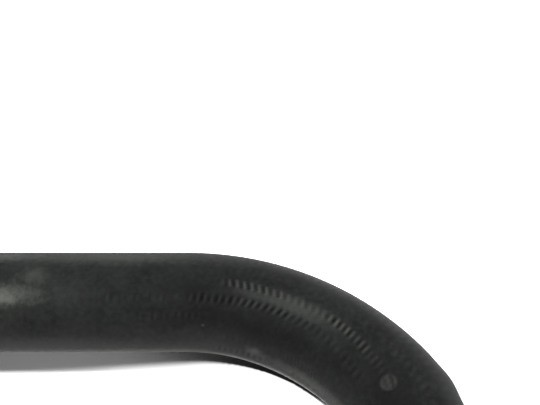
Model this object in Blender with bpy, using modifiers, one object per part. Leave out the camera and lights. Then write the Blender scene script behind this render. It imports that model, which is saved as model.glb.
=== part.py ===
"""Charge air hose: one moulded rubber hose with a compound bend, lying on its side.

Units are metres, +Z is up. The hose lies on z = 0 with its bend in the XY plane.
It enters along +X on a straight leg, turns clockwise through two bends of
different radius and ends in a second straight leg. Both ends are cut square.
"""

import math

import bmesh
import bpy
from mathutils import Matrix, Vector

# Section of the hose
boreDiameter = 0.050
wallThickness = 0.005
bendSwell = 0.0010  # how much the outer radius grows where the hose bends
swellFade = 0.040  # length of the outlet leg over which the swell dies away

# Line of the hose
inletLegLength = 0.172
firstBendRadius = 0.157
firstBendAngle = math.radians(47.5)
secondBendRadius = 0.080
secondBendAngle = math.radians(27.5)
outletLegLength = 0.092

# Crease on the outer wall, where the mandrel's two bends meet
creaseHeight = 0.0010
creaseLength = 0.0105
creasePlace = 0.0195  # past the start of the second bend
creaseHalfAngle = math.radians(70)

# Low round pad moulded on the top of the hose
padDiameter = 0.0115
padHeight = 0.0006
padEdgeRadius = 0.0002
padPlace = 0.008  # past the start of the second bend
padTurn = math.radians(13)  # from straight up, towards the inside of the bend

# Cut ends
endEdgeRadius = 0.0006

# Fineness of the mesh
sidesAround = 40
ringStep = 0.0056
legRingStep = 0.030

outerRadius = boreDiameter / 2 + wallThickness
padDepth = wallThickness / 2  # how far the pad's root reaches into the wall


def clearScene():
    for thing in list(bpy.data.objects):
        bpy.data.objects.remove(thing, do_unlink=True)


def makeCollection(name):
    collection = bpy.data.collections.new(name)
    bpy.context.scene.collection.children.link(collection)
    return collection


def rubberMaterial():
    """Matt black rubber, a little cool, as it comes out of the autoclave."""
    material = bpy.data.materials.new("black_rubber")
    material.use_nodes = True
    shader = material.node_tree.nodes["Principled BSDF"]
    shader.inputs["Base Color"].default_value = (0.022, 0.024, 0.024, 1.0)
    shader.inputs["Roughness"].default_value = 0.55
    shader.inputs["Metallic"].default_value = 0.0
    return material


def smoothStep(value):
    value = min(max(value, 0.0), 1.0)
    return value * value * (3.0 - 2.0 * value)


def bendStarts():
    """Distances along the hose at which its four stretches end."""
    firstStart = inletLegLength
    secondStart = firstStart + firstBendRadius * firstBendAngle
    outletStart = secondStart + secondBendRadius * secondBendAngle
    return firstStart, secondStart, outletStart, outletStart + outletLegLength


def pointAlong(distance):
    """Place and heading of the centreline in plan, at a distance from the inlet end."""
    firstStart, secondStart, outletStart, _ = bendStarts()
    onLeg = min(distance, firstStart)
    place = Vector((onLeg, 0.0))
    heading = 0.0
    bends = (
        (firstStart, secondStart, firstBendRadius),
        (secondStart, outletStart, secondBendRadius),
    )
    for start, end, radius in bends:
        travelled = min(max(distance - start, 0.0), end - start)
        turned = travelled / radius
        inward = Vector((math.sin(heading), math.cos(heading))) * -radius
        centre = place + inward
        heading += turned
        place = centre + Vector((math.sin(heading), math.cos(heading))) * radius
    rest = max(distance - outletStart, 0.0)
    return place + Vector((math.cos(heading), -math.sin(heading))) * rest, heading


def radiusAlong(distance):
    """Outer radius: it swells into the bends and falls back on the outlet leg."""
    firstStart, secondStart, outletStart, _ = bendStarts()
    rise = smoothStep((distance - firstStart) / (secondStart - firstStart))
    fall = smoothStep((distance - outletStart) / swellFade)
    return outerRadius + bendSwell * rise * (1.0 - fall)


def stations():
    """Distances at which the hose gets a ring: close in the bends, far apart on the legs."""
    firstStart, secondStart, outletStart, end = bendStarts()
    stretches = (
        (0.0, firstStart, legRingStep),
        (firstStart, secondStart, ringStep),
        (secondStart, outletStart, ringStep),
        (outletStart, outletStart + swellFade, ringStep),
        (outletStart + swellFade, end, legRingStep),
    )
    places = [0.0]
    for start, stop, step in stretches:
        count = max(1, math.ceil((stop - start) / step))
        for index in range(1, count + 1):
            places.append(start + (stop - start) * index / count)
    return places


def makeOuterWall(collection, places):
    """The outer surface: a polyline with a round bevel, resting on z = 0 all along."""
    line = bpy.data.curves.new("hose_line", "CURVE")
    line.dimensions = "3D"
    line.bevel_depth = outerRadius
    line.bevel_resolution = sidesAround // 2 - 2
    line.use_fill_caps = False
    spline = line.splines.new("POLY")
    spline.points.add(len(places) - 1)
    for point, distance in zip(spline.points, places):
        plan, _ = pointAlong(distance)
        radius = radiusAlong(distance)
        point.co = (plan.x, plan.y, radius, 1.0)
        point.radius = radius / outerRadius
    guide = bpy.data.objects.new("hose_line", line)
    collection.objects.link(guide)
    graph = bpy.context.evaluated_depsgraph_get()
    mesh = bpy.data.meshes.new_from_object(guide.evaluated_get(graph))
    wall = bpy.data.objects.new("hose", mesh)
    wall.matrix_world = guide.matrix_world
    collection.objects.link(wall)
    bpy.data.objects.remove(guide, do_unlink=True)
    bpy.data.curves.remove(line)
    return wall


def raiseCrease(wall):
    """Lifts the outer side of the bend into a soft crease across the hose."""
    station = bendStarts()[1] + creasePlace
    plan, heading = pointAlong(station)
    radius = radiusAlong(station)
    centre = Vector((plan.x, plan.y, radius))
    along = Vector((math.cos(heading), -math.sin(heading), 0.0))
    outward = Vector((math.sin(heading), math.cos(heading), 0.0))
    for vertex in wall.data.vertices:
        offset = vertex.co - centre
        distance = offset.dot(along)
        spoke = offset - along * distance
        if abs(distance) > creaseLength or spoke.length > 1.5 * radius:
            continue
        angle = spoke.angle(outward)
        share = 1.0 - smoothStep(abs(distance) / creaseLength)
        share *= 1.0 - smoothStep(angle / creaseHalfAngle)
        vertex.co += spoke.normalized() * creaseHeight * share


def applyModifiers(thing):
    graph = bpy.context.evaluated_depsgraph_get()
    mesh = bpy.data.meshes.new_from_object(thing.evaluated_get(graph))
    thing.modifiers.clear()
    thing.data = mesh


def addWall(wall):
    """Gives the outer surface its wall, inwards, and rounds the cut edges."""
    shell = wall.modifiers.new("wall", "SOLIDIFY")
    shell.thickness = wallThickness
    shell.offset = -1.0
    shell.use_even_offset = True
    edges = wall.modifiers.new("cut_edges", "BEVEL")
    edges.width = endEdgeRadius
    edges.segments = 2
    edges.limit_method = "ANGLE"
    edges.angle_limit = math.radians(60)
    applyModifiers(wall)


def makePad(collection):
    """The pad's cylinder, standing square on the wall with its root inside it."""
    station = bendStarts()[1] + padPlace
    plan, heading = pointAlong(station)
    radius = radiusAlong(station)
    inward = Vector((-math.sin(heading), -math.cos(heading), 0.0))
    normal = Vector((0.0, 0.0, 1.0)) * math.cos(padTurn) + inward * math.sin(padTurn)
    centre = Vector((plan.x, plan.y, radius))
    middle = centre + normal * (radius + (padHeight - padDepth) / 2)
    turn = normal.to_track_quat("Z", "Y").to_matrix().to_4x4()
    form = bmesh.new()
    bmesh.ops.create_cone(
        form,
        cap_ends=True,
        segments=20,
        radius1=padDiameter / 2,
        radius2=padDiameter / 2,
        depth=padHeight + padDepth,
        matrix=Matrix.Translation(middle) @ turn,
    )
    rim = [edge for edge in form.edges if all((v.co - middle).dot(normal) > 0 for v in edge.verts)]
    bmesh.ops.bevel(form, geom=rim, offset=padEdgeRadius, segments=1, affect="EDGES")
    mesh = bpy.data.meshes.new("pad_form")
    form.to_mesh(mesh)
    form.free()
    pad = bpy.data.objects.new("pad_form", mesh)
    pad.hide_render = True
    pad.display_type = "WIRE"
    collection.objects.link(pad)
    return pad


def joinPad(wall, pad):
    union = wall.modifiers.new("pad", "BOOLEAN")
    union.operation = "UNION"
    union.solver = "EXACT"
    union.object = pad
    applyModifiers(wall)
    bpy.data.objects.remove(pad, do_unlink=True)


def centreOverOrigin(thing):
    """Puts the middle of the footprint at the origin, with the hose resting on z = 0."""
    corners = [vertex.co for vertex in thing.data.vertices]
    lows = [min(corner[axis] for corner in corners) for axis in range(3)]
    highs = [max(corner[axis] for corner in corners) for axis in range(3)]
    middle = Vector(((lows[0] + highs[0]) / 2, (lows[1] + highs[1]) / 2, lows[2]))
    thing.data.transform(Matrix.Translation(-middle))


def makeHose():
    collection = makeCollection("charge_air_hose")
    formers = makeCollection("formers")
    hose = makeOuterWall(collection, stations())
    raiseCrease(hose)
    addWall(hose)
    joinPad(hose, makePad(formers))
    centreOverOrigin(hose)
    hose.data.materials.clear()
    hose.data.materials.append(rubberMaterial())
    hose.data.shade_smooth()
    hose.data.set_sharp_from_angle(angle=math.radians(40))
    return hose


clearScene()
makeHose()
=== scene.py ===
import math

import bmesh
import bpy
import numpy as np
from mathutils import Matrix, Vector


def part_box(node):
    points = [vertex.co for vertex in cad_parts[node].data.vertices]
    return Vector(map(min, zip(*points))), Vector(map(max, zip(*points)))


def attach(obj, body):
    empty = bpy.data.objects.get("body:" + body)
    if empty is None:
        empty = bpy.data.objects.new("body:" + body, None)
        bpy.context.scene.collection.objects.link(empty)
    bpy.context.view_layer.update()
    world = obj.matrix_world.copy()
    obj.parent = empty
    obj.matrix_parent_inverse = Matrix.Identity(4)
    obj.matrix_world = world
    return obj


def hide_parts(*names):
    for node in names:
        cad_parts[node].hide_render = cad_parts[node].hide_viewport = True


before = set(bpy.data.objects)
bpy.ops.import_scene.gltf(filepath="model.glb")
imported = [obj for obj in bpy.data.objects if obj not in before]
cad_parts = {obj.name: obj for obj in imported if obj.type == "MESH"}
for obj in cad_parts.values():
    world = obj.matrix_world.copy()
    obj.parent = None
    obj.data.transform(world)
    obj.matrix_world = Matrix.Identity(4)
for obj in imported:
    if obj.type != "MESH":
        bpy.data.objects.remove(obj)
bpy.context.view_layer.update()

print("frame loaded, nodes:", sorted(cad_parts))


# The hose's line and section

hoseLine = {
    "inletLegLength": 0.172,
    "firstBendRadius": 0.157,
    "firstBendAngle": math.radians(47.5),
    "secondBendRadius": 0.080,
    "secondBendAngle": math.radians(27.5),
    "outletLegLength": 0.092,
}
hoseSection = {
    "outerRadius": 0.030,
    "boreRadius": 0.025,
    "bendSwell": 0.0010,  # the wall stands this much further out in the bends
    "swellFade": 0.040,  # and comes back over this much of the outlet leg
    "cutEdgeRadius": 0.0006,
    "around": 128,  # sides
    "skinStep": 0.00075,  # between the rings of the skin
    "boreStep": 0.0060,
}
crease = {
    "height": 0.0010,
    "halfLength": 0.0105,
    "pastSecondBend": 0.0195,
    "halfAngle": math.radians(70),
}
pad = {
    "radius": 0.00575,
    "height": 0.0006,
    "edge": 0.0009,  # width of its sloping rim
    "pastSecondBend": 0.008,
    "aroundFromTop": math.radians(13),  # towards the inside of the bend
    "ribPitch": 0.0040,
    "ribHeight": 0.00018,
    "ribWaver": 0.0005,
    "waverAlong": 1700,  # radians a metre
    "waverAround": 1300,
    "ribLean": math.radians(-69),
    "ribFade": (-0.0010, 0.0045),  # around the hose, from the pad's middle: the ribs run into one there
    "wornRibs": 0.85,  # and keep this share of their height
}
knit = {
    "pitch": 0.0044,  # from one stitch to the next, along the hose
    # Distance into the bends, angle at which row 0 runs there, and from row to row, in degrees
    "path": (
        (0.030, 88.0, 20.5),
        (0.090, 88.5, 20.5),
        (0.105, 91.0, 22.0),
        (0.132, 100.0, 25.0),
    ),
    # Row 1 is pinched towards row 0: distance and reach along, angle, reach and shift around
    "pinch": (0.060, 0.030, 108.0, 14.0, 3.5),
    "topHeight": 0.00032,  # of the clearest stitches
    "gapDepth": 0.00080,  # of the hollows between them
    "flatShare": 0.10,  # half the width of a row over which a stitch keeps its height, in rows
    "endShare": 0.32,  # and where it has died away
    "legStrength": 0.02,  # of the imprint on the straight legs
    "bendStrength": 0.06,  # and in the bends
    "bendFade": 0.050,  # from one to the other
    "outletFade": 0.030,
    "stretchFade": 0.010,  # at both ends of a stretch below
    "endFade": 0.006,  # it is gone at the cut ends
    "belowGap": 6,  # degrees to either side of the underside's middle that have none
    "belowFade": 12,
    "seed": 7,
    "uneven": 0.30,  # how much weaker some stitches are than others
    "scatter": (12.9, 78.2, 43758.5),  # by stitch, by row, and how widely: any large sizes do
    "patchiness": 0.2,
    "patches": (410, 173, 2.1),  # radians a metre of two waves along the hose, and a row of the first
    "shift": {0: 0.66, 1: 0.63},  # where a row's stitches start, in stitches; drawn for the other rows
    "tighter": {0: (0.093, 43), 3: (0.070, 130)},  # row: from there on, this many more stitches a metre
    # Where it shows more: row, from and to (into the bends), strength of tops and of gaps, and
    # lean in stitches a row
    "stretches": (
        (0, 0.025, 0.061, 0.75, 1.00, -0.9),
        (0, 0.061, 0.086, 0.35, 0.40, -0.4),
        (0, 0.086, 0.106, 1.00, 1.00, 0.1),
        (0, 0.106, 0.118, 0.75, 1.00, 0.2),
        (0, 0.118, 0.133, 0.25, 0.50, 0.2),
        (1, -0.048, 0.006, 0.10, 0.25, 0.3),
        (1, 0.006, 0.034, 0.25, 1.00, 0.3),
        (1, 0.034, 0.068, 0.45, 1.00, 1.0),
        (1, 0.068, 0.082, 0.30, 0.60, 1.0),
        (1, 0.082, 0.125, 0.12, 0.45, 0.3),
        (2, -0.024, 0.012, 0.22, 0.30, 0.3),
        (3, 0.074, 0.125, 0.16, 0.25, -1.6),
        (4, 0.024, 0.062, 0.22, 0.35, 0.3),
        (4, 0.080, 0.125, 0.18, 0.25, 0.8),
        (-1, 0.085, 0.120, 0.06, 0.12, -0.8),
        (-1, 0.120, 0.155, 0.15, 0.25, -0.8),
        (-2, 0.030, 0.150, 0.12, 0.20, 0.0),
    ),
}


closeEnough = 1e-5  # points or lengths that differ by less are the same


def smoothStep(value):
    value = np.clip(value, 0.0, 1.0)
    return value * value * (3.0 - 2.0 * value)


# Distances along the centreline at which the bends start and end
firstStart = hoseLine["inletLegLength"]
secondStart = firstStart + hoseLine["firstBendRadius"] * hoseLine["firstBendAngle"]
outletStart = secondStart + hoseLine["secondBendRadius"] * hoseLine["secondBendAngle"]
hoseEnd = outletStart + hoseLine["outletLegLength"]
fullTurn = hoseLine["firstBendAngle"] + hoseLine["secondBendAngle"]

hoseLow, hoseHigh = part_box("hose")
inletX = hoseLow.x
legY = hoseHigh.y - hoseSection["outerRadius"]
firstCentre = (inletX + firstStart, legY - hoseLine["firstBendRadius"])
radiusStep = hoseLine["firstBendRadius"] - hoseLine["secondBendRadius"]
secondCentre = (
    firstCentre[0] + radiusStep * math.sin(hoseLine["firstBendAngle"]),
    firstCentre[1] + radiusStep * math.cos(hoseLine["firstBendAngle"]),
)
outletHeading = (math.cos(fullTurn), -math.sin(fullTurn))


# Plan place and heading of the centreline, for an array of distances
def centreAlong(distance):
    wide = (distance - firstStart) / hoseLine["firstBendRadius"]
    tight = (distance - secondStart) / hoseLine["secondBendRadius"]
    heading = np.clip(wide, 0, hoseLine["firstBendAngle"]) + np.clip(tight, 0, hoseLine["secondBendAngle"])
    inTight = distance > secondStart
    radius = np.where(inTight, hoseLine["secondBendRadius"], hoseLine["firstBendRadius"])
    centreX = np.where(inTight, secondCentre[0], firstCentre[0])
    centreY = np.where(inTight, secondCentre[1], firstCentre[1])
    x = centreX + radius * np.sin(heading) + np.minimum(distance - firstStart, 0)
    y = centreY + radius * np.cos(heading)
    past = np.maximum(distance - outletStart, 0)
    return x + past * outletHeading[0], y + past * outletHeading[1], heading


# Distance along the hose, angle around it and radius, for an array of points. The angle is 0 on the
# outer side of the bends and 90 degrees on top.
def hoseCoordinates(places):
    x, y, z = places.T
    firstTurn = np.arctan2(x - firstCentre[0], y - firstCentre[1])
    secondTurn = np.arctan2(x - secondCentre[0], y - secondCentre[1])
    outletX, outletY, _ = centreAlong(np.array([outletStart]))
    past = (x - outletX) * outletHeading[0] + (y - outletY) * outletHeading[1]
    wide = firstStart + hoseLine["firstBendRadius"] * firstTurn
    tight = secondStart + hoseLine["secondBendRadius"] * (secondTurn - hoseLine["firstBendAngle"])
    distance = np.where(x < firstCentre[0], x - inletX, wide)
    inSecond = (x >= firstCentre[0]) & (firstTurn > hoseLine["firstBendAngle"])
    distance = np.where(inSecond, tight, distance)
    distance = np.where(inSecond & (secondTurn > fullTurn), outletStart + past, distance)
    centreX, centreY, heading = centreAlong(distance)
    outward = (x - centreX) * np.sin(heading) + (y - centreY) * np.cos(heading)
    upward = z - hoseSection["outerRadius"]
    return distance, np.arctan2(upward, outward), np.hypot(upward, outward)


def swellAlong(distance):
    rise = smoothStep((distance - firstStart) / (secondStart - firstStart))
    fall = smoothStep((distance - outletStart) / hoseSection["swellFade"])
    return hoseSection["bendSwell"] * rise * (1.0 - fall)


def vertexPlaces(piece):
    places = np.empty(len(piece.data.vertices) * 3)
    piece.data.vertices.foreach_get("co", places)
    return places.reshape(-1, 3)


def deselectAll():
    bpy.ops.object.select_all(action="DESELECT")


def editMode(piece, kind):
    bpy.context.view_layer.objects.active = piece
    bpy.ops.object.mode_set(mode="EDIT")
    bpy.ops.mesh.select_mode(type=kind)
    bpy.ops.mesh.select_all(action="DESELECT")
    return bmesh.from_edit_mesh(piece.data)


def objectMode():
    bpy.ops.object.mode_set(mode="OBJECT")


# In edit mode, cuts the long sides of a straight leg into steps
def cutLeg(piece, length, step):
    bpy.ops.mesh.select_mode(type="EDGE")
    bpy.ops.mesh.select_all(action="DESELECT")
    form = bmesh.from_edit_mesh(piece.data)
    for edge in form.edges:
        edge.select = abs(edge.calc_length() - length) < closeEnough
    bmesh.update_edit_mesh(piece.data)
    bpy.ops.mesh.subdivide(number_cuts=round(length / step) - 1)


# An open tube along the hose's line: a ring is extruded, spun round both bends and extruded again
def layTube(name, radius, step):
    deselectAll()
    bpy.ops.mesh.primitive_circle_add(
        vertices=hoseSection["around"],
        radius=radius,
        location=(inletX, legY, hoseSection["outerRadius"]),
        rotation=(0, math.pi / 2, 0),
    )
    tube = bpy.context.object
    tube.name = name
    bpy.ops.object.transform_apply(location=True, rotation=True, scale=True)
    editMode(tube, "VERT")
    bpy.ops.mesh.select_all(action="SELECT")
    inletLeg = hoseLine["inletLegLength"]
    bpy.ops.mesh.extrude_region_move(TRANSFORM_OT_translate={"value": (inletLeg, 0, 0)})
    for centre, bend in ((firstCentre, "firstBend"), (secondCentre, "secondBend")):
        angle = hoseLine[bend + "Angle"]
        rings = round(hoseLine[bend + "Radius"] * angle / step)
        bpy.ops.mesh.spin(steps=rings, angle=angle, center=(*centre, 0), axis=(0, 0, 1))
    outletLeg = hoseLine["outletLegLength"]
    along = (outletHeading[0] * outletLeg, outletHeading[1] * outletLeg, 0)
    bpy.ops.mesh.extrude_region_move(TRANSFORM_OT_translate={"value": along})
    cutLeg(tube, inletLeg, step)
    cutLeg(tube, outletLeg, step)
    objectMode()
    return tube


# Joins the skin and the bore into one closed wall: the skin's end rings shrink onto the bore's
def closeWall(skin, bore):
    share = hoseSection["boreRadius"] / hoseSection["outerRadius"]
    reach = 1.1 * hoseSection["outerRadius"]  # takes in one end ring and not the other
    for distance in (0.0, hoseEnd):
        x, y, _ = centreAlong(np.array([distance]))
        centre = Vector((x[0], y[0], hoseSection["outerRadius"]))
        form = editMode(skin, "EDGE")
        for edge in form.edges:
            edge.select = edge.is_boundary and (edge.verts[0].co - centre).length < reach
        bmesh.update_edit_mesh(skin.data)
        bpy.ops.mesh.extrude_region_move()
        bpy.ops.transform.resize(value=(share, share, share), center_override=centre)
        objectMode()
    deselectAll()
    skin.select_set(True)
    bore.select_set(True)
    bpy.context.view_layer.objects.active = skin
    bpy.ops.object.join()
    editMode(skin, "VERT")
    bpy.ops.mesh.select_all(action="SELECT")
    bpy.ops.mesh.remove_doubles(threshold=closeEnough)
    bpy.ops.mesh.normals_make_consistent(inside=False)
    objectMode()
    return skin


# Distances of points from the pad's middle, along and around the hose
def fromPad(distance, angle):
    along = distance - secondStart - pad["pastSecondBend"]
    around = (angle - math.pi / 2 - pad["aroundFromTop"]) * hoseSection["outerRadius"]
    return along, around


# Gives the skin a finer mesh where the pad stands
def refineAroundPad(piece):
    distance, angle, radius = hoseCoordinates(vertexPlaces(piece))
    along, around = fromPad(distance, angle)
    near = np.hypot(along, around) < pad["radius"] + pad["edge"]
    near &= radius > hoseSection["boreRadius"] + hoseSection["skinStep"]
    form = editMode(piece, "FACE")
    form.verts.ensure_lookup_table()
    for face in form.faces:
        face.select = all(near[vert.index] for vert in face.verts)
    bmesh.update_edit_mesh(piece.data)
    bpy.ops.mesh.subdivide(number_cuts=2)
    objectMode()


def keepAttribute(piece, name, values):
    attribute = piece.data.attributes.new(name, "FLOAT", "POINT")
    attribute.data.foreach_set("value", values.astype(np.float32))


# Moves every vertex to the hose's true radius and lifts the bends so that they still lie on the floor
def shapeWall(piece):
    distance, angle, radius = hoseCoordinates(vertexPlaces(piece))
    onSkin = radius > (hoseSection["boreRadius"] + hoseSection["outerRadius"]) / 2
    swell = swellAlong(distance)
    plain = np.where(onSkin, hoseSection["outerRadius"], hoseSection["boreRadius"])
    pastCrease = np.abs(distance - secondStart - crease["pastSecondBend"]) / crease["halfLength"]
    fromOuterSide = np.abs(angle) / crease["halfAngle"]
    fold = crease["height"] * (1 - smoothStep(pastCrease)) * (1 - smoothStep(fromOuterSide))
    radius = plain + swell + fold
    centreX, centreY, heading = centreAlong(distance)
    outward = radius * np.cos(angle)
    places = np.column_stack(
        (
            centreX + outward * np.sin(heading),
            centreY + outward * np.cos(heading),
            hoseSection["outerRadius"] + swell + radius * np.sin(angle),
        )
    )
    piece.data.vertices.foreach_set("co", places.ravel())
    keepAttribute(piece, "along", distance)
    keepAttribute(piece, "around", np.mod(angle + math.pi / 2, 2 * math.pi) - math.pi / 2)
    keepAttribute(piece, "onSkin", onSkin.astype(float))
    piece.data.update()


def attributeValues(piece, name):
    values = np.empty(len(piece.data.vertices), dtype=np.float32)
    piece.data.attributes[name].data.foreach_get("value", values)
    return values.astype(float)


# A share for each stitch, drawn from its number and its row
def unevenShare(number, row):
    byStitch, byRow, spread = knit["scatter"]
    return 1 - knit["uneven"] * np.mod(np.sin(number * byStitch + row * byRow) * spread, 1)


# The knitted imprint: how far each point is a stitch's top, and how far a gap, from 0 to 1
def knitPattern(distance, angle):
    draw = np.random.default_rng(knit["seed"])
    intoBends = distance - firstStart
    stations, firstRow, rowAngle = np.array(knit["path"]).T
    degrees = np.degrees(angle)
    place, reach, pinchedAngle, angleReach, pinchShift = knit["pinch"]
    pinched = np.exp(-((intoBends - place) / reach) ** 2 - ((degrees - pinchedAngle) / angleReach) ** 2)
    fromFirst = degrees + pinchShift * pinched - np.interp(intoBends, stations, firstRow)
    rows = fromFirst / np.interp(intoBends, stations, rowAngle)
    row = np.round(rows)
    across = rows - row
    fade = (np.abs(across) - knit["flatShare"]) / (knit["endShare"] - knit["flatShare"])
    stitch = 1 - smoothStep(fade)
    pastBends = smoothStep((distance - outletStart) / knit["outletFade"])
    inBends = smoothStep(intoBends / knit["bendFade"]) * (1 - pastBends)
    topStrength = knit["legStrength"] + (knit["bendStrength"] - knit["legStrength"]) * inBends
    gapStrength = topStrength.copy()
    lean = np.zeros_like(distance)
    shift = np.zeros_like(distance)
    for number in range(int(row.min()), int(row.max()) + 1):
        shift[row == number] = knit["shift"].get(number, draw.random())
    for number, start, end, topValue, gapValue, slant in knit["stretches"]:
        begun = smoothStep((intoBends - start) / knit["stretchFade"] + 0.5)
        ended = smoothStep((intoBends - end) / knit["stretchFade"] + 0.5)
        share = begun * (1 - ended) * (row == number)
        topStrength += (topValue - topStrength) * share
        gapStrength += (gapValue - gapStrength) * share
        lean += slant * share
    for number, (start, extra) in knit["tighter"].items():
        shift += np.where(row == number, np.maximum(intoBends - start, 0) * extra, 0)
    phase = distance / knit["pitch"] + lean * across + shift
    wave = 0.5 + 0.5 * np.cos(2 * math.pi * phase)
    topStrength *= unevenShare(np.round(phase), row)
    gapStrength *= unevenShare(np.floor(phase), row + 0.5)
    quick, slow, rowTurn = knit["patches"]
    patches = np.sin(distance * quick + row * rowTurn) * np.sin(distance * slow + row)
    patchy = 1 - knit["patchiness"] + knit["patchiness"] * patches
    fromEnds = np.minimum(distance, hoseEnd - distance)
    fromBelow = smoothStep((np.abs(degrees + 90) - knit["belowGap"]) / knit["belowFade"])
    imprint = stitch * patchy * fromBelow * smoothStep(fromEnds / knit["endFade"])
    return imprint * topStrength * wave, imprint * gapStrength * (1 - wave)


# The pad's outline, the rise of its flat top over the round skin, and its ribs
def padForm(distance, angle):
    along, around = fromPad(distance, angle)
    rim = (pad["radius"] - np.hypot(along, around)) / pad["edge"]
    turned = along * math.cos(pad["ribLean"]) + around * math.sin(pad["ribLean"])
    waver = np.sin(along * pad["waverAlong"] + 1) * np.cos(around * pad["waverAround"])
    turned += pad["ribWaver"] * waver
    fadeStart, fadeEnd = pad["ribFade"]
    worn = smoothStep((around - fadeStart) / (fadeEnd - fadeStart))
    ribs = 0.5 + 0.5 * np.cos(2 * math.pi * turned / pad["ribPitch"])
    ribs += (pad["wornRibs"] - ribs) * worn
    skinRadius = hoseSection["outerRadius"] + hoseSection["bendSwell"]
    turn = np.clip(around, -pad["radius"], pad["radius"]) / skinRadius
    rise = (skinRadius + pad["height"] - pad["ribHeight"]) / np.cos(turn) - skinRadius
    return smoothStep(rim), rise, ribs * smoothStep(rim - 1.0)


def addGroup(piece, name, weights):
    least = 0.002  # what weighs less stays out of the group
    group = piece.vertex_groups.new(name=name)
    for index in np.flatnonzero(weights > least):
        group.add([int(index)], float(weights[index]), "REPLACE")


def raiseGroup(piece, name, height):
    lift = piece.modifiers.new(name, "DISPLACE")
    lift.vertex_group = name
    lift.direction = "NORMAL"
    lift.mid_level = 0.0
    lift.strength = height
    bpy.ops.object.modifier_apply(modifier=lift.name)


# The knit's imprint and the pad, each lifted out of the skin by its own vertex group
def printSkin(piece):
    distance = attributeValues(piece, "along")
    angle = attributeValues(piece, "around")
    onSkin = attributeValues(piece, "onSkin")
    padFace, padRise, padRibs = padForm(distance, angle)
    aroundPad = onSkin * (1 - padFace)
    tops, gaps = (share * aroundPad for share in knitPattern(distance, angle))
    keepAttribute(piece, "stitchTops", tops)
    keepAttribute(piece, "stitchGaps", gaps)
    keepAttribute(piece, "padFace", padFace * onSkin)
    keepAttribute(piece, "padRibs", padRibs * onSkin)
    highest = padRise.max()
    deselectAll()
    piece.select_set(True)
    bpy.context.view_layer.objects.active = piece
    for name, weights, height in (
        ("stitchTops", tops, knit["topHeight"]),
        ("stitchGaps", gaps, -knit["gapDepth"]),
        ("pad", padFace * onSkin * padRise / highest, highest),
        ("padRib", padRibs * onSkin, pad["ribHeight"]),
    ):
        addGroup(piece, name, weights)
        raiseGroup(piece, name, height)
    piece.vertex_groups.clear()


def roundCutEdges(piece):
    edges = piece.modifiers.new("cutEdges", "BEVEL")
    edges.width = hoseSection["cutEdgeRadius"]
    edges.segments = 3
    edges.limit_method = "ANGLE"
    edges.angle_limit = math.radians(60)
    bpy.ops.object.modifier_apply(modifier=edges.name)


# One unit of this map is a metre: along the hose, and around it with the seam on the underside
def unrollUv(piece):
    distance = attributeValues(piece, "along")
    angle = attributeValues(piece, "around")
    loopCount = len(piece.data.loops)
    corner = np.empty(loopCount, dtype=np.int32)
    piece.data.loops.foreach_get("vertex_index", corner)
    sizes = np.empty(len(piece.data.polygons), dtype=np.int32)
    piece.data.polygons.foreach_get("loop_total", sizes)
    starts = np.empty(len(piece.data.polygons), dtype=np.int32)
    piece.data.polygons.foreach_get("loop_start", starts)
    cornerAngle = angle[corner]
    highest = np.repeat(np.maximum.reduceat(cornerAngle, starts), sizes)
    overSeam = (highest - cornerAngle) > math.pi
    cornerAngle = cornerAngle + np.where(overSeam, 2 * math.pi, 0)
    unrolled = np.column_stack((distance[corner], cornerAngle * hoseSection["outerRadius"]))
    layer = piece.data.uv_layers.new(name="unrolled")
    layer.data.foreach_set("uv", unrolled.astype(np.float32).ravel())


# Skin, bore and cut ends take their own rubber, in that order
def dressHose(piece, materials):
    piece.data.materials.clear()
    for material in materials:
        piece.data.materials.append(material)
    distance = attributeValues(piece, "along")
    onSkin = attributeValues(piece, "onSkin")
    for face in piece.data.polygons:
        middle = sum(distance[index] for index in face.vertices) / len(face.vertices)
        share = sum(onSkin[index] for index in face.vertices) / len(face.vertices)
        atEnd = min(middle, hoseEnd - middle) < 10 * closeEnough
        face.material_index = 2 if atEnd else int(share < 0.5)


def makeHose(materials):
    skin = layTube("hoseSkin", hoseSection["outerRadius"], hoseSection["skinStep"])
    bore = layTube("hoseBore", hoseSection["boreRadius"], hoseSection["boreStep"])
    hose = closeWall(skin, bore)
    refineAroundPad(hose)
    shapeWall(hose)
    printSkin(hose)
    roundCutEdges(hose)
    dressHose(hose, materials)
    unrollUv(hose)
    deselectAll()
    hose.select_set(True)
    bpy.ops.object.shade_smooth_by_angle(angle=math.radians(50))
    print("hose skin laid,", len(hose.data.polygons), "faces")
    return hose


# Shader helpers

def addNode(tree, kind, place, values=None, **settings):
    node = tree.nodes.new(kind)
    node.location = place
    for name, value in settings.items():
        setattr(node, name, value)
    for name, value in (values or {}).items():
        node.inputs[name].default_value = value
    return node


# Each value is either a socket to link from or a constant
def feed(tree, pairs):
    for socket, value in pairs:
        if isinstance(value, bpy.types.NodeSocket):
            tree.links.new(value, socket)
        else:
            socket.default_value = value


def mixColour(tree, place, factor, first, second):
    mix = addNode(tree, "ShaderNodeMix", place, data_type="RGBA")
    feed(tree, zip((mix.inputs[0], mix.inputs[6], mix.inputs[7]), (factor, first, second)))
    return mix.outputs[2]


def mixValue(tree, place, factor, first, second):
    mix = addNode(tree, "ShaderNodeMix", place, data_type="FLOAT")
    feed(tree, zip((mix.inputs[0], mix.inputs[2], mix.inputs[3]), (factor, first, second)))
    return mix.outputs[0]


def combine(tree, place, operation, first, second):
    node = addNode(tree, "ShaderNodeMath", place, operation=operation)
    feed(tree, zip(node.inputs, (first, second)))
    return node.outputs[0]


# Carries a value from one range over to another, and stops at its ends
def mapRange(tree, place, value, given, wanted, **settings):
    node = addNode(tree, "ShaderNodeMapRange", place, **settings)
    for label, limit in zip(("From Min", "From Max", "To Min", "To Max"), (*given, *wanted)):
        node.inputs[label].default_value = limit
    tree.links.new(value, node.inputs["Value"])
    return node.outputs["Result"]


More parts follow.
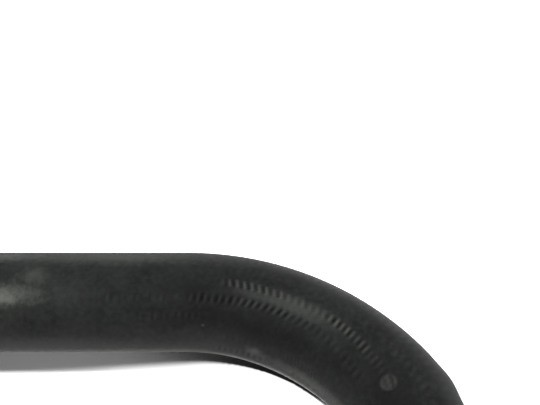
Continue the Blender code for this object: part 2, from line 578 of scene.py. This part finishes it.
def readAttribute(tree, place, name):
    return addNode(tree, "ShaderNodeAttribute", place, attribute_name=name).outputs["Fac"]


def startGroup(name, inputs, outputs):
    tree = bpy.data.node_groups.new(name, "ShaderNodeTree")
    for label, kind, value in inputs:
        socket = tree.interface.new_socket(label, in_out="INPUT", socket_type=kind)
        if value is not None:
            socket.default_value = value
    for label, kind in outputs:
        tree.interface.new_socket(label, in_out="OUTPUT", socket_type=kind)
    return tree, addNode(tree, "NodeGroupInput", (-900, 0)), addNode(tree, "NodeGroupOutput", (700, 0))


def placeGroup(tree, group, place, values=None):
    return addNode(tree, "ShaderNodeGroup", place, values, node_tree=group)


# Grain of vulcanised rubber: a fine pebble for the bump, a slow mottling and quick flecks
grain = {
    # name: detail and roughness of the noise, and the part of it that is spread from 0 to 1
    "Pebble": (3.0, 0.60, (0.0, 1.0)),
    "Mottle": (5.0, 0.62, (0.32, 0.68)),
    "Fleck": (2.0, 0.50, (0.35, 0.65)),
    "flecksToMottle": 7.0,  # how much finer the flecks are
}


def makeRubberGrain():
    tree, given, result = startGroup(
        "rubberGrain",
        (
            ("Vector", "NodeSocketVector", None),
            ("Pebble Scale", "NodeSocketFloat", 1800.0),
            ("Mottle Scale", "NodeSocketFloat", 60.0),
        ),
        (("Pebble", "NodeSocketFloat"), ("Mottle", "NodeSocketFloat"), ("Fleck", "NodeSocketFloat")),
    )
    pebbleScale, mottleScale = given.outputs["Pebble Scale"], given.outputs["Mottle Scale"]
    fleckScale = combine(tree, (-700, -260), "MULTIPLY", mottleScale, grain["flecksToMottle"])
    layers = (("Pebble", pebbleScale, 260), ("Mottle", mottleScale, 0), ("Fleck", fleckScale, -260))
    for name, scale, y in layers:
        detail, roughness, shown = grain[name]
        noise = addNode(tree, "ShaderNodeTexNoise", (-500, y), {"Detail": detail, "Roughness": roughness})
        tree.links.new(given.outputs["Vector"], noise.inputs["Vector"])
        tree.links.new(scale, noise.inputs["Scale"])
        spread = mapRange(tree, (-200, y), noise.outputs["Fac"], shown, (0, 1))
        tree.links.new(spread, result.inputs[name])
    return tree


# A soft mark: full in the middle of a vector whose length is 1 at the mark's edge, ragged by noise
def makeSoftMark():
    tree, given, result = startGroup(
        "softMark",
        (
            ("Vector", "NodeSocketVector", None),
            ("Noise Vector", "NodeSocketVector", None),
            ("Ragged", "NodeSocketFloat", 0.4),
            ("Ragged Scale", "NodeSocketFloat", 300.0),
            ("Core", "NodeSocketFloat", 0.3),
        ),
        (("Mask", "NodeSocketFloat"),),
    )
    reach = addNode(tree, "ShaderNodeVectorMath", (-600, 160), operation="LENGTH")
    noise = addNode(tree, "ShaderNodeTexNoise", (-600, -120), {"Detail": 4.0, "Roughness": 0.6})
    link = tree.links.new
    link(given.outputs["Vector"], reach.inputs[0])
    link(given.outputs["Noise Vector"], noise.inputs["Vector"])
    link(given.outputs["Ragged Scale"], noise.inputs["Scale"])
    centred = combine(tree, (-400, -120), "SUBTRACT", noise.outputs["Fac"], 0.5)
    ragged = combine(tree, (-200, -60), "MULTIPLY", centred, given.outputs["Ragged"])
    torn = combine(tree, (0, 100), "ADD", reach.outputs["Value"], ragged)
    fade = mapRange(tree, (250, 60), torn, (0, 1), (1, 0), interpolation_type="SMOOTHSTEP")
    link(given.outputs["Core"], fade.node.inputs["From Min"])
    link(fade, result.inputs["Mask"])
    return tree


def startMaterial(name, roughness, specular, sheen=0.0):
    material = bpy.data.materials.new(name)
    material.use_nodes = True
    tree = material.node_tree
    shader = tree.nodes["Principled BSDF"]
    shader.location = (900, 0)
    tree.nodes["Material Output"].location = (1200, 0)
    shader.inputs["Roughness"].default_value = roughness
    shader.inputs["Specular IOR Level"].default_value = specular
    shader.inputs["Sheen Weight"].default_value = sheen
    objectPlace = addNode(tree, "ShaderNodeTexCoord", (-1500, 0)).outputs["Object"]
    return material, tree, shader, objectPlace


# Grain of one rubber, at its own sizes
def placeGrain(tree, group, finish, objectPlace):
    scales = {"Pebble Scale": finish["pebbleScale"], "Mottle Scale": finish["mottleScale"]}
    placed = placeGroup(tree, group, (-1200, 200), scales)
    tree.links.new(objectPlace, placed.inputs["Vector"])
    return placed.outputs


# A fine relief on the surface
def addRelief(tree, shader, height, depth):
    bump = addNode(tree, "ShaderNodeBump", (600, -400), {"Strength": 1.0, "Distance": depth})
    tree.links.new(height, bump.inputs["Height"])
    tree.links.new(bump.outputs["Normal"], shader.inputs["Normal"])


# The skin: matt black with a cool cast, dusty bloom, handling marks and painted light and shade

skinFinish = {
    "black": (0.0036, 0.0042, 0.0040, 1),
    "worn": (0.0191, 0.0209, 0.0199, 1),
    "bloomAndPaintedLight": (0.115, 0.122, 0.108, 1),  # grey talc and ozone bloom, also the tone of the painted highlights and reflections
    # wear on the stitch tops, partly a painted highlight
    "stitchTopWearAndHighlight": (0.072, 0.076, 0.069, 1),
    # painted shade: near black laid in the hollows between stitches and in the shaded marks below
    "gapShade": (0.0012, 0.0014, 0.0013, 1),
    "padTop": (0.036, 0.038, 0.035, 1),
    "padGap": (0.014, 0.015, 0.014, 1),
    "brown": (0.0100, 0.0082, 0.0050, 1),
    "roughness": 0.78,
    "smoothRoughness": 0.50,  # where the bend has pulled or pressed the skin smooth
    "gapRoughness": 1.0,  # in the hollows between stitches
    "unevenRoughness": (-0.05, 0.05),  # what the flecks add to the roughness
    "specular": 0.13,
    "sheen": 0.050,
    "flecksInWear": 0.45,  # the rest of the wear follows the mottling
    "padWear": (0.65, 1.0),  # how far the pad's colour covers the skin's, by the flecks
    "pebbleScale": 1800.0,
    "mottleScale": 45.0,
    "pebbleDepth": 0.00002,
}
# Smoother skin: distance from the start of the bends, angle, half length, half width, turn
smoothSkin = {
    "pulledTop": (0.062, 92.5, 0.046, 0.0082, 0),
    "bendInside": (0.080, 193, 0.080, 0.0080, 0),
}
smoothSkinEdge = {"Ragged": 0.35, "Ragged Scale": 60.0, "Core": 0.35}
# Marks: the same five values, then colour and strength
skinMarks = {
    "greyedLeg": (-0.120, 110, 0.090, 0.0200, 0, "bloomAndPaintedLight", 0.10),
    # dust with a painted highlight at the left end of the inlet leg
    "dustAndHighlightPatch": (-0.106, 106, 0.034, 0.0095, 0, "bloomAndPaintedLight", 0.50),
    "dustAndHighlightCore": (-0.104, 110, 0.014, 0.0055, 0, "bloomAndPaintedLight", 0.70),
    "paleBlotch": (-0.0870, 82, 0.0120, 0.0090, 0, "bloomAndPaintedLight", 0.22),
    # dust with a painted rim reflection along the far upper side of the inlet leg
    "farRimDustAndReflection": (-0.112, 50, 0.034, 0.0080, 0, "bloomAndPaintedLight", 0.40),
    "shoulderDustAndReflection": (-0.045, 53, 0.095, 0.0100, 0, "bloomAndPaintedLight", 0.30),
    "dustyBelly": (-0.090, 170, 0.115, 0.0100, 0, "bloomAndPaintedLight", 0.17),
    "dustyOuterRim": (0.085, 42, 0.075, 0.0065, 0, "bloomAndPaintedLight", 0.14),
    # dust with a painted reflection of the floor along the lower inner rim
    "innerRimDustAndReflection": (-0.010, 190, 0.170, 0.0065, 0, "bloomAndPaintedLight", 0.45),
    # bloom with a painted highlight along the top of the bend
    "bendTopBloomAndHighlight": (0.066, 92, 0.044, 0.0080, 0, "bloomAndPaintedLight", 0.20),
    # painted shade: the skin darkened with the gap colour where it lies in shade
    "paintedShadeTop": (0.004, 98, 0.032, 0.0120, 0, "gapShade", 0.60),
    "paintedShadeBend": (0.150, 112, 0.050, 0.0200, 0, "gapShade", 0.75),
    "paintedShadeBelly": (0.045, 129, 0.115, 0.0150, 0, "gapShade", 0.65),
    "thumbSmudge": (0.052, 161, 0.010, 0.0050, 0, "bloomAndPaintedLight", 0.40),
    "greyedInside": (0.100, 167, 0.060, 0.0075, 0, "bloomAndPaintedLight", 0.40),
    "paleFleck": (0.014, 139, 0.0018, 0.0012, 0, "bloomAndPaintedLight", 0.30),
    "brownSpeck": (-0.021, 110, 0.0020, 0.0018, 0, "brown", 0.80),
    "scuff": (0.015, 97, 0.0062, 0.0006, 60, "black", 0.80),
}
skinMarkEdge = {"Ragged": 0.9, "Ragged Scale": 260.0, "Core": 0.0}


# The mask of one soft mark on the unrolled skin
def placeMark(tree, group, place, outline, edge, objectPlace):
    distance, angle, halfLength, halfWidth, turn = outline
    around = math.radians(angle) * hoseSection["outerRadius"]
    x, y = place
    unrolled = addNode(tree, "ShaderNodeUVMap", (x - 250, y), uv_map="unrolled").outputs["UV"]
    aim = addNode(tree, "ShaderNodeMapping", place, vector_type="TEXTURE")
    aim.inputs["Location"].default_value = (firstStart + distance, around, 0)
    aim.inputs["Rotation"].default_value = (0, 0, math.radians(turn))
    aim.inputs["Scale"].default_value = (halfLength, halfWidth, 1)
    spot = placeGroup(tree, group, (x + 200, y), edge)
    tree.links.new(unrolled, aim.inputs["Vector"])
    tree.links.new(aim.outputs["Vector"], spot.inputs["Vector"])
    tree.links.new(objectPlace, spot.inputs["Noise Vector"])
    return spot.outputs["Mask"]


def skinColour(tree, grainOf, markGroup, objectPlace):
    worn = mixValue(tree, (-900, 200), skinFinish["flecksInWear"], grainOf["Mottle"], grainOf["Fleck"])
    colour = mixColour(tree, (-700, 200), worn, skinFinish["black"], skinFinish["worn"])
    # Stitch tops are lighter: wear, and a painted highlight where the bars catch the light
    top = readAttribute(tree, (-1200, -150), "stitchTops")
    colour = mixColour(tree, (-500, 200), top, colour, skinFinish["stitchTopWearAndHighlight"])
    for number, (*outline, tone, strength) in enumerate(skinMarks.values()):
        y = -400 - 260 * number
        mask = placeMark(tree, markGroup, (-1250, y), outline, skinMarkEdge, objectPlace)
        amount = combine(tree, (-750, y), "MULTIPLY", mask, strength)
        colour = mixColour(tree, (-300 + 90 * number, 200), amount, colour, skinFinish[tone])
    # Painted shade in the hollows between stitches, on top of their real relief
    gap = readAttribute(tree, (-1200, 0), "stitchGaps")
    colour = mixColour(tree, (600, 0), gap, colour, skinFinish["gapShade"])
    ribs = readAttribute(tree, (200, 600), "padRibs")
    padColour = mixColour(tree, (450, 500), ribs, skinFinish["padGap"], skinFinish["padTop"])
    padWear = mapRange(tree, (200, 750), grainOf["Fleck"], (0, 1), skinFinish["padWear"])
    padFace = readAttribute(tree, (200, 450), "padFace")
    padShare = combine(tree, (450, 700), "MULTIPLY", padFace, padWear)
    return mixColour(tree, (700, 300), padShare, colour, padColour)


def skinRoughness(tree, grainOf, markGroup, objectPlace):
    smooth = 0.0
    for number, outline in enumerate(smoothSkin.values()):
        y = -300 - 300 * number
        mask = placeMark(tree, markGroup, (-200, y), outline, smoothSkinEdge, objectPlace)
        smooth = combine(tree, (150, y), "MAXIMUM", mask, smooth)
    ends = (skinFinish["roughness"], skinFinish["smoothRoughness"])
    rough = mapRange(tree, (250, -300), smooth, (0, 1), ends)
    uneven = mapRange(tree, (250, -600), grainOf["Fleck"], (0, 1), skinFinish["unevenRoughness"])
    rough = combine(tree, (500, -300), "ADD", rough, uneven)
    gap = readAttribute(tree, (500, -450), "stitchGaps")
    return mixValue(tree, (700, -300), gap, rough, skinFinish["gapRoughness"])


def makeSkinRubber(grainGroup, markGroup):
    material, tree, shader, objectPlace = startMaterial(
        "skinRubber", skinFinish["roughness"], skinFinish["specular"], skinFinish["sheen"]
    )
    grainOf = placeGrain(tree, grainGroup, skinFinish, objectPlace)
    colour = skinColour(tree, grainOf, markGroup, objectPlace)
    tree.links.new(colour, shader.inputs["Base Color"])
    rough = skinRoughness(tree, grainOf, markGroup, objectPlace)
    tree.links.new(rough, shader.inputs["Roughness"])
    addRelief(tree, shader, grainOf["Pebble"], skinFinish["pebbleDepth"])
    return material


# The bore: smoother and a little browner, as the mandrel leaves it

boreFinish = {
    "black": (0.010, 0.010, 0.010, 1),
    "worn": (0.022, 0.021, 0.020, 1),
    "roughness": 0.45,
    "specular": 0.35,
    "pebbleScale": 900.0,
    "mottleScale": 80.0,
    "pebbleDepth": 0.00001,
}


# A rubber whose colour only follows the mottling
def startPlainRubber(name, finish, grainGroup):
    material, tree, shader, objectPlace = startMaterial(name, finish["roughness"], finish["specular"])
    grainOf = placeGrain(tree, grainGroup, finish, objectPlace)
    colour = mixColour(tree, (-700, 200), grainOf["Mottle"], finish["black"], finish["worn"])
    tree.links.new(colour, shader.inputs["Base Color"])
    return material, tree, shader, objectPlace, grainOf


def makeBoreRubber(grainGroup):
    material, tree, shader, _, grainOf = startPlainRubber("boreRubber", boreFinish, grainGroup)
    addRelief(tree, shader, grainOf["Pebble"], boreFinish["pebbleDepth"])
    return material


# The cut ends: dull, with the fine lines that the knife leaves

cutFinish = {
    "black": (0.014, 0.014, 0.014, 1),
    "worn": (0.032, 0.032, 0.031, 1),
    "roughness": 0.75,
    "specular": 0.25,
    "pebbleScale": 1500.0,
    "mottleScale": 220.0,
    "lineScale": 900.0,
    "lineWaver": 2.0,
    "lineDepth": 0.00003,
}


def makeCutRubber(grainGroup):
    material, tree, shader, objectPlace, _ = startPlainRubber("cutRubber", cutFinish, grainGroup)
    waves = {"Scale": cutFinish["lineScale"], "Distortion": cutFinish["lineWaver"]}
    lines = addNode(tree, "ShaderNodeTexWave", (200, -400), waves, bands_direction="Z")
    tree.links.new(objectPlace, lines.inputs["Vector"])
    addRelief(tree, shader, lines.outputs["Fac"], cutFinish["lineDepth"])
    return material


rubberGrain = makeRubberGrain()
softMark = makeSoftMark()
hoseMaterials = (
    makeSkinRubber(rubberGrain, softMark),
    makeBoreRubber(rubberGrain),
    makeCutRubber(rubberGrain),
)
print("rubber materials made")

hosePiece = makeHose(hoseMaterials)
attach(hosePiece, "root")
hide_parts("hose")


# Floor, lights and camera

studio = {
    "floorHalf": 4.0,
    "fineHalf": 0.24,  # of the middle of the floor, which has a close grid
    "fineSteps": 60,
    "outerSteps": 10,
    "lineStep": 0.001,  # between the places on the hose's line that the floor is measured from
    "glowClip": 50,  # half-widths past the edge of the glow at which its measure stays level
    # Where the glow sets in, which draws the edge of a painted shadow beside the hose: place along
    # the hose, past the start of the first bend, then the distance from the hose's line in plan, half
    # the width over which the glow sets in, and how pale the floor is short of it, a painted shadow
    "glowEdge": (
        (-0.113, 0.0358, 0.0042, 1.0),
        (-0.084, 0.0351, 0.0050, 1.0),
        (-0.062, 0.0335, 0.0046, 1.0),
        (-0.040, 0.0313, 0.0038, 1.0),
        (-0.010, 0.0290, 0.0032, 1.0),
        (0.015, 0.0272, 0.0018, 1.0),
        (0.033, 0.0261, 0.0008, 0.50),
        (0.058, 0.0250, 0.0003, 0.30),
        (0.080, 0.0245, 0.0003, 0.30),
        (0.097, 0.0248, 0.0006, 0.45),
        (0.110, 0.0250, 0.0008, 0.50),
    ),
    "glowPastEnds": 8.0,  # how fast the painted shadow band narrows past the cut ends
    "ambient": 0.06,  # world light on diffuse rays
    # The room in reflections: an axis, its start and end, and the brightness at each.
    # It is dim on the camera's side and overhead, and brighter behind the hose and lower down
    "room": (
        ("Y", (-0.5, 0.3), (0.15, 0.50)),
        ("Z", (0.25, 0.85), (1.0, 0.40)),
    ),
    # name: direction from the hose, distance, size, watts
    "lamps": {
        "keyLamp": ((-0.50, 0.125, 0.860), 2.0, 0.22, 47.0),
        "backLamp": ((-0.08, 0.31, 0.95), 1.0, 0.40, 1.2),
        "lowFill": ((0.86, -0.30, 0.37), 0.8, 0.20, 3.6),
    },
    "lampsAim": (0.03, 0.05, 0.03),
}
shot = {
    "aim": (0.0434, 0.1625, 0.0),
    "elevation": math.radians(60),
    "distance": 0.6167,
    "lens": 60.0,
    "sensorWidth": 36.0,
}


# Outputs of the light path: camera rays, and rays that see the room in a glossy or clear surface
def rayKinds(tree, place):
    rays = addNode(tree, "ShaderNodeLightPath", place).outputs
    beside = (place[0] + 220, place[1] - 100)
    mirrored = combine(tree, beside, "MAXIMUM", rays["Is Glossy Ray"], rays["Is Transmission Ray"])
    return rays["Is Camera Ray"], mirrored


# A square floor whose grid is close under the hose and coarse further out
def layFloor():
    deselectAll()
    steps = studio["fineSteps"] + studio["outerSteps"]
    bpy.ops.mesh.primitive_grid_add(x_subdivisions=2 * steps, y_subdivisions=2 * steps, size=2 * steps)
    floor = bpy.context.object
    floor.name = "paleFloor"
    places = vertexPlaces(floor)
    number = np.abs(places)
    fine = np.minimum(number, studio["fineSteps"]) * studio["fineHalf"] / studio["fineSteps"]
    outerStep = (studio["floorHalf"] - studio["fineHalf"]) / studio["outerSteps"]
    places = np.sign(places) * (fine + np.maximum(number - studio["fineSteps"], 0) * outerStep)
    floor.data.vertices.foreach_set("co", places.ravel())
    floor.data.update()
    return floor


# How far each place of the floor is past the glow's edge, in half-widths of it, and the painted shadow's
# tone
def keepGlowEdge(floor):
    x, y, _ = vertexPlaces(floor).T
    distance = np.arange(0, hoseEnd, studio["lineStep"])
    lineX, lineY, _ = centreAlong(distance)
    gaps = np.hypot(x[:, None] - lineX, y[:, None] - lineY)
    nearest = distance[gaps.argmin(axis=1)] - firstStart
    pastOutlet = (x - lineX[-1]) * outletHeading[0] + (y - lineY[-1]) * outletHeading[1]
    pastEnds = np.maximum(np.maximum(inletX - x, pastOutlet), 0)
    stations, edges, softness, paintedShadowTone = np.array(studio["glowEdge"]).T
    clear = gaps.min(axis=1) - np.interp(nearest, stations, edges) + studio["glowPastEnds"] * pastEnds
    pastEdge = clear / np.interp(nearest, stations, softness)
    pastEdge = np.clip(pastEdge, -studio["glowClip"], studio["glowClip"])
    keepAttribute(floor, "pastGlowEdge", pastEdge)
    keepAttribute(floor, "paintedShadowTone", np.interp(nearest, stations, paintedShadowTone))


def makeFloor():
    floor = layFloor()
    keepGlowEdge(floor)
    material = bpy.data.materials.new("paleFloor")
    material.use_nodes = True
    tree = material.node_tree
    tree.nodes.clear()
    diffuse = addNode(tree, "ShaderNodeBsdfDiffuse", (0, 200))
    glow = addNode(tree, "ShaderNodeEmission", (0, 0))
    both = addNode(tree, "ShaderNodeAddShader", (250, 100))
    output = addNode(tree, "ShaderNodeOutputMaterial", (500, 100))
    link = tree.links.new
    pastEdge = readAttribute(tree, (-900, 300), "pastGlowEdge")
    away = mapRange(tree, (-600, 300), pastEdge, (-1, 1), (0, 1), interpolation_type="SMOOTHSTEP")
    # Painted shadow: short of the glow's edge the floor's colour is darkened to this tone
    paintedShadowTone = readAttribute(tree, (-600, 500), "paintedShadowTone")
    shade = combine(tree, (-300, 400), "MAXIMUM", paintedShadowTone, away)
    link(shade, diffuse.inputs["Color"])
    seen, mirrored = rayKinds(tree, (-900, -100))
    direct = combine(tree, (-400, 50), "MULTIPLY", seen, away)
    strength = combine(tree, (-200, -50), "ADD", direct, mirrored)
    link(strength, glow.inputs["Strength"])
    link(diffuse.outputs[0], both.inputs[0])
    link(glow.outputs[0], both.inputs[1])
    link(both.outputs[0], output.inputs["Surface"])
    floor.data.materials.append(material)
    return floor


def lightWorld():
    world = bpy.data.worlds.new("softRoom")
    bpy.context.scene.world = world
    world.use_nodes = True
    tree = world.node_tree
    background = tree.nodes["Background"]
    background.inputs["Color"].default_value = (1, 1, 1, 1)
    direction = addNode(tree, "ShaderNodeTexCoord", (-1300, 300)).outputs["Generated"]
    parts = addNode(tree, "ShaderNodeSeparateXYZ", (-1100, 300))
    tree.links.new(direction, parts.inputs[0])
    shares = []
    for number, (axis, ends, brightness) in enumerate(studio["room"]):
        spot = (-900, 300 * number)
        along = parts.outputs[axis]
        shares.append(mapRange(tree, spot, along, ends, brightness, interpolation_type="SMOOTHSTEP"))
    room = combine(tree, (-600, 300), "MULTIPLY", *shares)
    seen, mirrored = rayKinds(tree, (-900, -200))
    strength = mixValue(tree, (-400, 100), mirrored, studio["ambient"], room)
    strength = mixValue(tree, (-200, 0), seen, strength, 1.0)
    tree.links.new(strength, background.inputs["Strength"])


# Each lamp is turned so that it shines at the aim
def hangLamps():
    aim = np.array(studio["lampsAim"])
    for name, (direction, distance, size, watts) in studio["lamps"].items():
        direction = np.array(direction) / np.linalg.norm(direction)
        bpy.ops.object.light_add(type="AREA", location=aim + direction * distance)
        lamp = bpy.context.object
        lamp.name = name
        lamp.data.size = size
        lamp.data.energy = watts
        x, y, z = direction
        lamp.rotation_euler = (math.atan2(math.hypot(x, y), z), 0, math.atan2(x, -y))


def placeCamera():
    back = math.cos(shot["elevation"]) * shot["distance"]
    up = math.sin(shot["elevation"]) * shot["distance"]
    x, y, z = shot["aim"]
    tilt = math.pi / 2 - shot["elevation"]
    bpy.ops.object.camera_add(location=(x, y - back, z + up), rotation=(tilt, 0, 0))
    camera = bpy.context.object
    camera.data.lens = shot["lens"]
    camera.data.sensor_width = shot["sensorWidth"]
    bpy.context.scene.camera = camera


makeFloor()
lightWorld()
hangLamps()
placeCamera()
bpy.context.scene.view_settings.view_transform = "Standard"
print("floor, lamps and camera placed")
